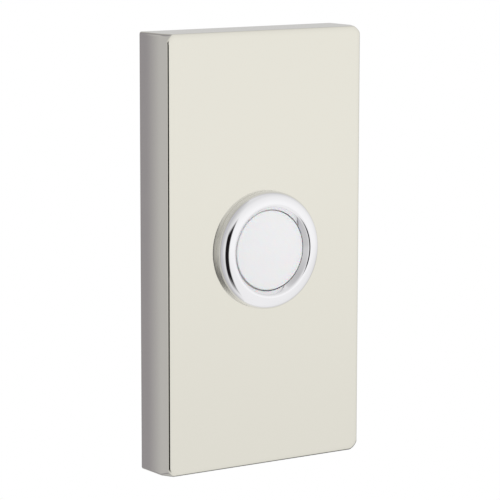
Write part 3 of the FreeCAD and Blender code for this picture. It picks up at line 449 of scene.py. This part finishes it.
class DOORBELL_OT_face_plate(bpy.types.Operator):
    """Build the polished cover plate with its soft front edge and its hollow back"""
    bl_idname = "doorbell.face_plate"
    bl_label = "Cover Plate"

    def execute(self, context):
        settings = context.scene.doorbell_plate
        low, high = box_mm("face_plate")
        bm = rounded_block(high.x, high.z, low.y, settings.front_corner)
        # The corners are nearly square at the wall and grow rounder towards the front.
        blend_start = low.y + settings.corner_depth
        bmesh.ops.bisect_plane(bm, geom=bm.verts[:] + bm.edges[:] + bm.faces[:], plane_co=(0, blend_start, 0),
                               plane_no=(0, 1, 0))
        ratio = settings.back_corner / settings.front_corner
        for vert in bm.verts:
            if vert.co.y > blend_start - NEAR:
                for axis, half in ((0, high.x), (2, high.z)):
                    side = math.copysign(1, vert.co[axis])
                    old = side * (half - settings.front_corner)
                    new = side * (half - settings.back_corner)
                    vert.co[axis] = new + (vert.co[axis] - old) * ratio
        front_edges = [e for e in bm.edges if all(abs(v.co.y - low.y) < NEAR for v in e.verts)]
        bmesh.ops.bevel(bm, geom=front_edges, offset=settings.edge_width, offset_type="OFFSET", segments=12,
                        profile=0.5, affect="EDGES", material=-1)
        # The buffing wheel takes more off the face than off the sides.
        flatten = settings.edge_depth / settings.edge_width
        for vert in bm.verts:
            if vert.co.y < low.y + settings.edge_width + NEAR:
                vert.co.y = low.y + (vert.co.y - low.y) * flatten
        # The wheel runs off over the top edge, which is wider for it, and onto the underside, where the edge
        # is deeper.
        for vert in bm.verts:
            if vert.co.y > low.y + settings.edge_depth + NEAR:
                continue
            depth = min(max((vert.co.y - low.y) / settings.edge_depth, 0.0), 1.0)
            inward = settings.edge_width * (1 - math.sqrt(1 - (1 - depth) ** 2))
            beyond = abs(vert.co.z) - high.z + settings.front_corner
            share = min(max(beyond / (settings.front_corner - inward), 0.0), 1.0)
            if vert.co.z > 0:
                vert.co.z -= (settings.top_edge - 1) * inward * share
            else:
                vert.co.y += (settings.bottom_edge - 1) * (vert.co.y - low.y) * share
        plate = tool_from(bm, "cover_plate")

        hollow_x = high.x - settings.side_wall
        hollow_z = high.z - settings.side_wall
        floor_y = low.y + settings.front_wall
        hollow_corner = 2.0
        draft_degrees = 1.5
        overshoot = 1.0
        hollow = rounded_block(hollow_x, hollow_z, floor_y, hollow_corner)
        draft = -floor_y * math.tan(math.radians(draft_degrees))
        for vert in hollow.verts:
            if vert.co.y < floor_y + NEAR:
                vert.co.x -= math.copysign(draft, vert.co.x)
                vert.co.z -= math.copysign(draft, vert.co.z)
            else:
                vert.co.y += overshoot
        cut(plate, tool_from(hollow, "hollow_tool"))

        # Size and middle of the lug that hangs on the bracket's hook, and of the boss for the set screw.
        block_round = 0.3
        for name, sizes, middle in (
                ("lug_tool", (18.0, 2.2, 5.2), (0, -2.5, 39.85)),
                ("boss_tool", (9.0, 7.0, 3.0), (0, -4.9, -40.95))):
            block = bmesh.new()
            bmesh.ops.create_cube(block, size=1.0)
            bmesh.ops.scale(block, vec=sizes, verts=block.verts)
            bmesh.ops.bevel(block, geom=block.edges[:], offset=block_round, offset_type="OFFSET", segments=2,
                            profile=0.5, affect="EDGES", material=-1)
            bmesh.ops.translate(block, vec=middle, verts=block.verts)
            cut(plate, tool_from(block, name), "UNION")

        barrel_hole = 10.45
        along_y = Matrix.Translation((0, low.y, 0)) @ Matrix.Rotation(math.pi / 2, 4, "X")
        drill(plate, "barrel_tool", barrel_hole, 6, 128, along_y)
        screw_hole = 1.54
        screw_y = -4.3
        drill(plate, "screw_tool", screw_hole, 12, 48, Matrix.Translation((0, screw_y, low.z)))

        mesh = plate.data
        mesh.transform(Matrix.Scale(MM, 4))
        mesh.shade_smooth()
        mesh.set_sharp_from_angle(angle=math.radians(32))
        weights = plate.modifiers.new("flat_faces_stay_flat", "WEIGHTED_NORMAL")
        weights.keep_sharp = True
        weights.weight = 100
        mesh.materials.clear()
        mesh.materials.append(polished_nickel(settings))
        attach(plate, "housing")
        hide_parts("face_plate")
        return {"FINISHED"}


class DOORBELL_OT_ring(bpy.types.Operator):
    """Turn the chrome ring and its barrel"""
    bl_idname = "doorbell.ring"
    bl_label = "Chrome Ring"

    def execute(self, context):
        settings = context.scene.doorbell_ring
        low, high = box_mm("bezel")
        front = box_mm("face_plate")[0].y
        outer = high.x
        side_top = front - settings.side_height
        crest = low.y
        crest_radius = outer - settings.dome
        run = settings.dome
        rise = side_top - crest
        shoulder = settings.shoulder
        # The dome is one arc that leaves the shoulder without a corner and ends level at the crest.
        crown = (run * run + rise * rise - 2 * run * shoulder) / (2 * rise - 2 * shoulder)
        join = math.degrees(math.atan2(crown - rise, run - shoulder))
        slope = math.radians(settings.slope)
        inner = settings.inner_round
        slope_end = crest + inner - inner * math.cos(slope)
        slope_radius = crest_radius - inner * math.sin(slope)
        lip = settings.lip_radius
        lip_chamfer = 0.1
        lip_front = slope_end + (slope_radius - lip - lip_chamfer) * math.tan(slope)
        lip_back = front - 0.3
        foot_chamfer = 0.06
        thread_crest = 10.3
        thread_root = 9.95
        thread_front = -9.9
        thread_end = -1.6
        bore = 8.9
        base_seat = 5.0
        pocket = 9.2
        rim_front = 7.7
        rim_bore = 8.65
        rim_round = 0.4
        tail = 9.7
        tail_end = 8.2
        profile = [(thread_crest, front), (outer - foot_chamfer, front), (outer, front - foot_chamfer)]
        profile += arc((outer - shoulder, side_top), shoulder, 0, -join, 10)
        profile += arc((crest_radius, crest + crown), crown, -join, -90, 24)[1:]
        profile += arc((crest_radius, crest + inner), inner, -90, -90 - settings.slope, 10)[1:]
        profile += [(lip + lip_chamfer, lip_front), (lip, lip_front + 0.15), (lip, lip_back),
                    (bore, lip_back), (bore, base_seat), (pocket, base_seat), (pocket, rim_front),
                    (rim_bore, rim_front), (rim_bore, tail_end), (tail - rim_round, tail_end)]
        profile += arc((tail - rim_round, tail_end - rim_round), rim_round, 90, 0, 5)[1:]
        profile += [(tail, thread_end), (thread_root, thread_end), (thread_root, thread_front),
                    (thread_crest, thread_front)]
        ring = finish_piece(lathe(profile, 192), "chrome_ring", bright_chrome(settings))
        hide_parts("bezel")
        self.wind_thread(ring.data.materials[0])
        return {"FINISHED"}

    def wind_thread(self, chrome):
        """The barrel's thread: one ridge wound along it."""
        pitch = 0.8
        turns = 9
        steps = 64
        start = -1.7
        foot = 9.9
        crest = 10.3
        bm = bmesh.new()
        ridge = [bm.verts.new((radius, start + pitch * along, 0))
                 for radius, along in ((foot, -0.45), (crest, -0.2), (crest, -0.1), (foot, 0.15))]
        edges = [bm.edges.new((ridge[i], ridge[(i + 1) % 4])) for i in range(4)]
        bmesh.ops.spin(bm, geom=ridge + edges, cent=(0, 0, 0), axis=(0, 1, 0), angle=math.tau * turns,
                       dvec=(0, -pitch / steps, 0), steps=steps * turns)
        bmesh.ops.holes_fill(bm, edges=bm.edges[:], sides=4)
        bmesh.ops.recalc_face_normals(bm, faces=bm.faces)
        thread = finish_piece(bm, "barrel_thread", chrome)
        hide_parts("bezel")


class DOORBELL_OT_push_cap(bpy.types.Operator):
    """Turn the white push cap"""
    bl_idname = "doorbell.push_cap"
    bl_label = "Push Cap"

    def execute(self, context):
        settings = context.scene.doorbell_cap
        peak = box_mm("button_cap")[0].y
        radius = 8.165
        edge = box_mm("face_plate")[0].y - 1.5
        round_off = 0.3
        inside = edge + 1.2
        flange = 8.8
        flange_front = -10.45
        flange_back = -9.45
        skirt = 8.0
        skirt_back = -1.0
        skirt_bore = 6.9
        seat = 3.6
        seat_bore = 2.9
        seat_back = inside + 0.9
        brow = radius - round_off
        rise = edge - peak
        crown = (brow * brow + rise * rise) / (2 * rise)
        lean = math.degrees(math.asin(brow / crown))
        profile = arc((0, peak + crown), crown, -90, -90 + lean, 24)
        profile += arc((brow, edge + round_off), round_off, -90 + lean, 0, 8)[1:]
        profile += [(radius, flange_front), (flange, flange_front), (flange, flange_back),
                    (skirt, flange_back), (skirt, skirt_back), (skirt_bore, skirt_back),
                    (skirt_bore, inside), (seat, inside), (seat, seat_back), (seat_bore, seat_back),
                    (seat_bore, inside), (0, inside)]
        cap = finish_piece(lathe(profile, 128, closed=False), "white_cap", moulded_white(settings),
                           body="button")
        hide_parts("button_cap")
        return {"FINISHED"}


class DOORBELL_OT_spring(bpy.types.Operator):
    """Wind the return spring, with closed and ground ends"""
    bl_idname = "doorbell.spring"
    bl_label = "Return Spring"

    def execute(self, context):
        mean = 4.2
        wire = 0.3
        seat = -10.5
        back = 2.0
        ground = 0.12
        steps = 40
        sides = 12
        closed = 1
        active = 4
        start = seat + wire
        lift_closed = wire * 2 / steps
        lift_active = (back - wire - start - lift_closed * steps * closed * 2) / (steps * active)
        bm = bmesh.new()
        circle = bmesh.ops.create_circle(bm, segments=sides, radius=wire)["verts"]
        bmesh.ops.translate(bm, vec=(mean, start, 0), verts=circle)
        geom = circle + bm.edges[:]
        for turns, lift in ((closed, lift_closed), (active, lift_active), (closed, lift_closed)):
            made = bmesh.ops.spin(bm, geom=geom, cent=(0, 0, 0), axis=(0, 1, 0), angle=math.tau * turns,
                                  dvec=(0, lift, 0), steps=steps * turns)
            geom = made["geom_last"]
        bmesh.ops.holes_fill(bm, edges=bm.edges[:], sides=sides)
        bmesh.ops.recalc_face_normals(bm, faces=bm.faces)
        # Both ends are ground flat against their seats.
        for vert in bm.verts:
            vert.co.y = min(max(vert.co.y, seat + ground), back - ground)
        wire_finish = worked_metal("stainless_wire", "#a7a7a8", "#8b8b8d", 0.25, 0.1)
        spring = finish_piece(bm, "coil_spring", wire_finish, sharp=50)
        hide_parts("return_spring")
        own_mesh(spring)
        return {"FINISHED"}


class DOORBELL_OT_solder(bpy.types.Operator):
    """Flow a solder joint over each lamp lead where it meets its terminal"""
    bl_idname = "doorbell.solder"
    bl_label = "Solder Joints"

    def execute(self, context):
        solder = worked_metal("tin_solder", "#c9cbce", "#b4b6ba", 0.22, 0.1)
        back = box_mm("terminal_plate_left")[1].y
        radius = 0.75
        neck = 0.35
        joint_x = 4.2
        joint_z = -1.2
        seated = 0.005
        for side, x in (("left", -joint_x), ("right", joint_x)):
            bm = bmesh.new()
            bmesh.ops.create_uvsphere(bm, u_segments=24, v_segments=14, radius=radius)
            bmesh.ops.bisect_plane(bm, geom=bm.verts[:] + bm.edges[:] + bm.faces[:], plane_co=(0, 0, 0),
                                   plane_no=(0, -1, 0), clear_outer=True)
            bmesh.ops.holes_fill(bm, edges=bm.edges[:])
            # The tin draws up the wire, so the mound is hollow-sided.
            for vert in bm.verts:
                flare = 1.0 - neck * math.sin(math.pi * min(vert.co.y / radius, 1.0))
                vert.co.x *= flare
                vert.co.z *= flare
            bmesh.ops.translate(bm, vec=(x, back - seated, joint_z), verts=bm.verts)
            bmesh.ops.recalc_face_normals(bm, faces=bm.faces)
            finish_piece(bm, f"solder_joint_{side}", solder)
        return {"FINISHED"}


class DOORBELL_OT_hardware(bpy.types.Operator):
    """Give the bracket, nut, contacts, base, lamp and resistor their finishes"""
    bl_idname = "doorbell.hardware"
    bl_label = "Bracket and Switch Parts"

    def execute(self, context):
        zinc = worked_metal("zinc_plated_steel", "#b4b8bc", "#9da3a6", 0.32, 0.2)
        dress_nodes(zinc, "mounting_bracket", "retaining_nut", "lock_washer")
        dark = worked_metal("blackened_steel", "#55565a", "#3d3e42", 0.38, 0.2)
        dress_nodes(dark, "cover_set_screw")
        brass = worked_metal("rolled_brass", "#d9b365", "#c79c4e", 0.28, 0.15)
        sides = ("left", "right")
        kinds = ("fixed_contact", "contact_rivet", "terminal_plate", "cup_washer", "terminal_screw")
        dress_nodes(brass, "contact_bridge", *(f"{kind}_{side}" for kind in kinds for side in sides))
        dress_nodes(moulded_phenolic(), "contact_base")
        dress_nodes(lamp_resin(), "led_lamp")
        dress_nodes(resistor_lacquer(), "resistor")
        return {"FINISHED"}


def smooth_band(tree, value, edges):
    """1 between the two middle edges, falling smoothly to 0 at the outer two."""
    start, full, fade, end = edges
    rise = add_node(tree, "ShaderNodeMapRange", {
        "Value": value, "From Min": start, "From Max": full}, interpolation_type="SMOOTHSTEP")
    fall = add_node(tree, "ShaderNodeMapRange", {
        "Value": value, "From Min": fade, "From Max": end, "To Min": 1.0, "To Max": 0.0},
        interpolation_type="SMOOTHSTEP")
    return calculate(tree, "MULTIPLY", rise.outputs[0], fall.outputs[0])


class DOORBELL_OT_stage(bpy.types.Operator):
    """Set up the camera, the pale tent, the fill lamp, the floor and the side card"""
    bl_idname = "doorbell.stage"
    bl_label = "Studio"

    def execute(self, context):
        scene = context.scene
        studio = scene.doorbell_studio
        scene.view_settings.view_transform = "Standard"
        self.add_camera(scene, studio)
        self.add_sky(scene)
        self.add_tent(scene, studio)
        self.add_fill(scene, studio)
        self.add_floor(scene)
        self.add_flag(scene)
        return {"FINISHED"}

    def add_camera(self, scene, studio):
        azimuth = math.radians(studio.azimuth)
        elevation = math.radians(studio.elevation)
        back = Vector((math.sin(azimuth) * math.cos(elevation), -math.cos(azimuth) * math.cos(elevation),
                       math.sin(elevation)))
        right = Vector((math.cos(azimuth), math.sin(azimuth), 0))
        up = back.cross(right)
        roll = Matrix.Rotation(math.radians(studio.roll), 3, back)
        right = roll @ right
        up = roll @ up
        camera = bpy.data.objects.new("camera", bpy.data.cameras.new("camera"))
        scene.collection.objects.link(camera)
        camera.matrix_world = Matrix((right, up, back)).transposed().to_4x4()
        camera.location = (back * studio.distance + right * studio.shift_right + up * studio.shift_up) * MM
        sensor_width = 36
        picture_width = 500
        camera.data.sensor_width = sensor_width
        camera.data.lens = studio.focal_pixels / picture_width * sensor_width
        camera.data.clip_start = 0.01
        scene.camera = camera

    def add_sky(self, scene):
        """Plain white wherever a ray leaves the studio."""
        world = bpy.data.worlds.new("white_background")
        scene.world = world
        world.use_nodes = True
        tree = world.node_tree
        tree.nodes.clear()
        white = add_node(tree, "ShaderNodeBackground", {"Color": (1, 1, 1, 1), "Strength": 1.0})
        output = add_node(tree, "ShaderNodeOutputWorld")
        tree.links.new(white.outputs[0], output.inputs["Surface"])

    def add_tent(self, scene, studio):
        """A round light tent of white cloth, greyer at the sides, with a dark gap right of the front."""
        bm = bmesh.new()
        bmesh.ops.create_uvsphere(bm, u_segments=48, v_segments=24, radius=2.5)
        bmesh.ops.reverse_faces(bm, faces=bm.faces)
        tent = self.stage_mesh(scene, bm, "light_tent")
        material, tree, output = new_material("tent_cloth")
        place = object_place(tree)
        direction = add_node(tree, "ShaderNodeVectorMath", {0: place}, operation="NORMALIZE").outputs[0]
        axes = add_node(tree, "ShaderNodeSeparateXYZ", {"Vector": direction})
        left = calculate(tree, "MULTIPLY", axes.outputs["X"], -1.0)
        ahead = calculate(tree, "MULTIPLY", axes.outputs["Y"], -1.0)
        turn = calculate(tree, "DEGREES", calculate(tree, "ARCTAN2", left, ahead))
        rise = calculate(tree, "DEGREES", calculate(tree, "ARCSINE", axes.outputs["Z"]))
        share = add_node(tree, "ShaderNodeMapRange", {"Value": turn, "From Min": -180.0, "From Max": 180.0})
        walls = add_node(tree, "ShaderNodeValToRGB", {"Fac": share.outputs[0]})
        # Degrees left of the front, and how bright the cloth is there.
        stops = ((-180, 0.56), (-150, 0.65), (-115, 0.62), (-92, 0.79), (-62, 0.96), (-34, 1.0), (-5, 0.98),
                 (24, 0.86), (48, 0.78), (64, 0.7), (80, 0.62), (120, 0.57), (150, 0.5), (180, 0.56))
        ramp = walls.color_ramp
        for number, (bearing, level) in enumerate(stops):
            place_on_ramp = (bearing + 180) / 360
            if number == 0:
                stop = ramp.elements[0]
            elif number == len(stops) - 1:
                stop = ramp.elements[-1]
            else:
                stop = ramp.elements.new(place_on_ramp)
            stop.position = place_on_ramp
            stop.color = (level * 0.995, level * 0.99, level, 1)
        # The cloth is a little greyer towards the floor and the roof.
        low_dim = add_node(tree, "ShaderNodeMapRange", {
            "Value": rise, "From Min": -14.0, "From Max": -7.0, "To Min": 0.92, "To Max": 1.0})
        roof_dim = add_node(tree, "ShaderNodeMapRange", {
            "Value": rise, "From Min": 4.0, "From Max": 50.0, "To Min": 1.0, "To Max": 0.8})
        both_dims = calculate(tree, "MULTIPLY", low_dim.outputs[0], roof_dim.outputs[0])
        cloth = add_node(tree, "ShaderNodeMix", {0: 1.0, 6: walls.outputs[0], 7: both_dims},
                         data_type="RGBA", blend_type="MULTIPLY")
        gap = calculate(tree, "MULTIPLY", smooth_band(tree, turn, (-5, 1, 26, 34)),
                        smooth_band(tree, rise, (-58, -25, 10, 22)))
        # A dark table edge low behind on the right.
        table_depth = 0.85
        table = calculate(tree, "MULTIPLY", smooth_band(tree, turn, (-160, -150, -106, -90)),
                          smooth_band(tree, rise, (-64, -54, -17, -10)))
        dark = calculate(tree, "MAXIMUM", gap, calculate(tree, "MULTIPLY", table, table_depth))
        lit = blend(tree, dark, cloth.outputs[2], rgba("#1c1a1c"))
        glow = add_node(tree, "ShaderNodeEmission", {"Color": lit, "Strength": studio.light})
        tree.links.new(glow.outputs[0], output.inputs["Surface"])
        tent.data.materials.append(material)
        tent.visible_camera = False

    def add_fill(self, scene, studio):
        """A large soft lamp in front that brings the cap to its own white. Metal doesn't mirror it."""
        lamp = bpy.data.lights.new("fill", "AREA")
        lamp.shape = "DISK"
        lamp.size = 0.9
        lamp.energy = studio.fill
        fill = bpy.data.objects.new("fill", lamp)
        scene.collection.objects.link(fill)
        fill.location = (0.6, -1.1, 0.6)
        fill.rotation_euler = (-fill.location).to_track_quat("-Z", "Y").to_euler()
        fill.visible_glossy = False

    def stage_mesh(self, scene, bm, name):
        mesh = bpy.data.meshes.new(name)
        bm.to_mesh(mesh)
        bm.free()
        thing = bpy.data.objects.new(name, mesh)
        scene.collection.objects.link(thing)
        return thing

    def add_floor(self, scene):
        """The floor of the room, well below the button on its wall."""
        bm = bmesh.new()
        bmesh.ops.create_circle(bm, cap_ends=True, segments=64, radius=2.0,
                                matrix=Matrix.Translation((0, 0, -1.2)))
        floor = self.stage_mesh(scene, bm, "floor")
        material, tree, output = new_material("pale_floor")
        shader = add_node(tree, "ShaderNodeBsdfPrincipled", {"Base Color": rgba("#e9e9e7"), "Roughness": 0.8})
        tree.links.new(shader.outputs[0], output.inputs["Surface"])
        floor.data.materials.append(material)
        floor.visible_glossy = False

    def add_flag(self, scene):
        """A grey card behind and to the left, graded so that it shades the plate's side towards the wall."""
        near = -0.02
        far = 0.12
        card_x = -0.036
        bm = bmesh.new()
        bmesh.ops.create_grid(bm, x_segments=1, y_segments=1, size=0.5)
        bmesh.ops.rotate(bm, cent=(0, 0, 0), matrix=Matrix.Rotation(math.pi / 2, 3, "Y"), verts=bm.verts)
        bmesh.ops.scale(bm, vec=(1, far - near, 0.5), verts=bm.verts)
        bmesh.ops.translate(bm, vec=(card_x, (near + far) / 2, 0), verts=bm.verts)
        flag = self.stage_mesh(scene, bm, "side_flag")
        material, tree, output = new_material("graded_card")
        place = object_place(tree)
        axes = add_node(tree, "ShaderNodeSeparateXYZ", {"Vector": place})
        share = add_node(tree, "ShaderNodeMapRange", {
            "Value": axes.outputs["Y"], "From Min": 0.0122, "From Max": 0.0172})
        tone = blend(tree, share.outputs[0], rgba("#c5c4c9"), rgba("#9e9ba4"))
        shader = add_node(tree, "ShaderNodeEmission", {"Color": tone, "Strength": 1.0})
        tree.links.new(shader.outputs[0], output.inputs["Surface"])
        flag.data.materials.append(material)
        flag.visible_camera = False
        flag.visible_shadow = False


class DOORBELL_PT_panel(bpy.types.Panel):
    """Lists the doorbell's settings and the steps that build it"""
    bl_label = "Doorbell"
    bl_idname = "DOORBELL_PT_panel"
    bl_space_type = "VIEW_3D"
    bl_region_type = "UI"
    bl_category = "Doorbell"

    def draw(self, context):
        for group in SETTINGS:
            settings = getattr(context.scene, group)
            for name in settings.bl_rna.properties.keys():
                if name not in ("rna_type", "name"):
                    self.layout.prop(settings, name)
        for step in STEPS:
            self.layout.operator(step.bl_idname)


SETTINGS = {
    "doorbell_plate": PlateSettings,
    "doorbell_ring": RingSettings,
    "doorbell_cap": CapSettings,
    "doorbell_studio": StudioSettings,
}
STEPS = (DOORBELL_OT_stage, DOORBELL_OT_face_plate, DOORBELL_OT_ring, DOORBELL_OT_push_cap,
         DOORBELL_OT_spring, DOORBELL_OT_solder, DOORBELL_OT_hardware)


def register():
    for cls in (*SETTINGS.values(), *STEPS, DOORBELL_PT_panel):
        bpy.utils.register_class(cls)
    for name, cls in SETTINGS.items():
        setattr(bpy.types.Scene, name, PointerProperty(type=cls))


def unregister():
    for name in SETTINGS:
        delattr(bpy.types.Scene, name)
    for cls in (DOORBELL_PT_panel, *reversed(STEPS), *reversed(tuple(SETTINGS.values()))):
        bpy.utils.unregister_class(cls)


def main():
    register()
    bpy.ops.doorbell.stage()
    bpy.ops.doorbell.face_plate()
    bpy.ops.doorbell.ring()
    bpy.ops.doorbell.push_cap()
    bpy.ops.doorbell.spring()
    bpy.ops.doorbell.solder()
    bpy.ops.doorbell.hardware()


if __name__ == "__main__":
    main()
